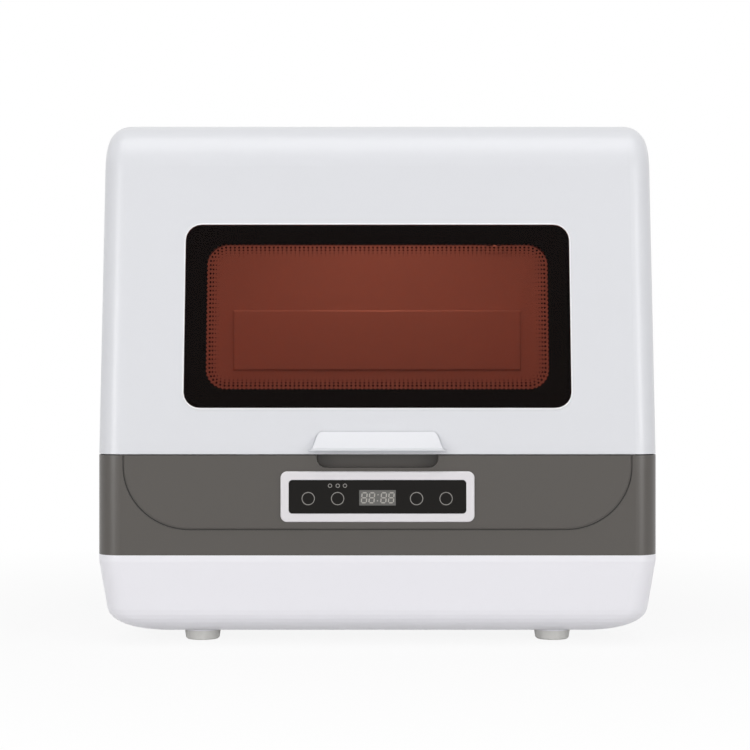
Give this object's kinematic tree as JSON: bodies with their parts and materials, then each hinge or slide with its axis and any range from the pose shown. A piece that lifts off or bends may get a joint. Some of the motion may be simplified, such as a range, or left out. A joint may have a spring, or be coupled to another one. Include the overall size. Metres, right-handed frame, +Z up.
{
  "type": "countertop dishwasher",
  "caption": "Countertop dishwasher with a flip-up windowed hood, grey control band, bowl-shaped base, wire basket, cutlery basket and spray arm.",
  "frame": {"origin": "on the ground, in the middle of the overall footprint, from the pull lip to the rear spigots", "axes": "+Z up, -Y towards the front with the window and the controls, +X to the right seen from the front"},
  "size_m": [0.43, 0.416, 0.407],
  "materials": {
    "casing_white": "satin white moulded casing",
    "foot_rubber": "light grey rubber",
    "screw_steel": "plated steel",
    "band_grey": "dark warm grey, fine satin",
    "bezel_white": "glossy white",
    "panel_black": "glossy black acrylic",
    "circuit_board": "green laminate",
    "display_grey": "grey display module",
    "key_silver": "satin steel",
    "chamber_plastic": "dark grey polypropylene",
    "seal_rubber": "black elastomer",
    "sump_plastic": "mid grey polypropylene",
    "filter_steel": "perforated stainless steel",
    "heater_steel": "stainless steel tube",
    "pump_black": "black glass-filled plastic",
    "hose_rubber": "black hose rubber",
    "valve_plastic": "light grey nylon",
    "rear_cover_steel": "light grey powder coat",
    "lamp_clear": "clear polycarbonate",
    "hinge_steel": "zinc plated steel",
    "window_glass": "smoked tempered glass",
    "window_black": "black moulded frame",
    "bush_plastic": "white acetal",
    "basket_wire": "grey nylon coated wire",
    "spray_plastic": "grey polypropylene",
    "filter_plastic": "dark grey polypropylene with mesh",
    "switch_blue": "white nylon"
  },
  "bodies": {
    "base": {"base_shell": "casing_white", "feet": "foot_rubber", "foot_screws": "screw_steel", "mid_band": "band_grey", "control_bezel": "bezel_white", "control_glass": "panel_black", "control_board": "circuit_board", "display_module": "display_grey", "touch_pads": "key_silver", "inner_tub": "chamber_plastic", "rim_seal": "seal_rubber", "sump_bowl": "sump_plastic", "filter_plate": "filter_steel", "heater_ring": "heater_steel", "riser_pipe": "sump_plastic", "wash_pump": "pump_black", "drain_pump": "pump_black", "wash_duct": "hose_rubber", "drain_hose": "hose_rubber", "inlet_valve": "valve_plastic", "inlet_tube": "hose_rubber", "drain_outlet": "valve_plastic", "cord_gland": "seal_rubber", "main_board": "circuit_board", "rear_housing": "casing_white", "rear_cover": "rear_cover_steel", "rear_cover_screws": "screw_steel", "back_panel": "chamber_plastic", "back_seal": "seal_rubber", "lamp_lens": "lamp_clear", "lamp_board": "circuit_board", "fan_housing": "pump_black", "air_grille": "chamber_plastic", "hinge_brackets": "hinge_steel", "hinge_pins": "hinge_steel", "bracket_screws": "screw_steel", "latch_clips": "hinge_steel", "door_switch": "pump_black"},
    "hood": {"hood_shell": "casing_white", "hood_liner": "chamber_plastic", "window_outer_glass": "window_glass", "window_frame": "window_black", "window_inner_glass": "window_glass", "handle_grip": "casing_white", "latch_strikers": "key_silver", "hinge_arms": "hinge_steel", "hinge_bushes": "bush_plastic", "arm_rivets": "screw_steel"},
    "basket": {"basket_long_wires": "basket_wire", "basket_cross_wires": "basket_wire", "basket_rim": "basket_wire", "basket_tines": "basket_wire", "basket_feet": "spray_plastic"},
    "cutlery": {"cutlery_basket": "spray_plastic"},
    "spray_arm": {"spray_arm": "spray_plastic", "spray_arm_cap": "spray_plastic"},
    "filter": {"micro_filter": "filter_plastic"},
    "fan": {"fan_impeller": "pump_black"},
    "plunger": {"switch_plunger": "switch_blue"}
  },
  "joints": [
    {"name": "hood_hinge", "type": "hinge", "parent": "base", "child": "hood", "pos_m": [0, 0.15, 0.394], "axis": [-1, 0, 0], "range_deg": [0, 65]},
    {"name": "spray_arm_spin", "type": "hinge", "parent": "base", "child": "spray_arm", "pos_m": [0, -0.0195, 0.094], "axis": [0, 0, 1], "continuous": true},
    {"name": "fan_spin", "type": "hinge", "parent": "base", "child": "fan", "pos_m": [0.11, 0.168, 0.346], "axis": [0, 1, 0], "continuous": true},
    {"name": "basket_lift", "type": "slide", "parent": "base", "child": "basket", "axis": [0, 0, 1], "range_m": [0, 0.1]},
    {"name": "cutlery_lift", "type": "slide", "parent": "basket", "child": "cutlery", "axis": [0, 0, 1], "range_m": [0, 0.06]},
    {"name": "filter_twist", "type": "hinge", "parent": "base", "child": "filter", "pos_m": [0.044, -0.0195, 0.065], "axis": [0, 0, 1], "range_deg": [0, 45]},
    {"name": "plunger_press", "type": "slide", "parent": "base", "child": "plunger", "axis": [0, 0, 1], "range_m": [-0.003, 0], "stiffness_N_per_m": 150}
  ]
}
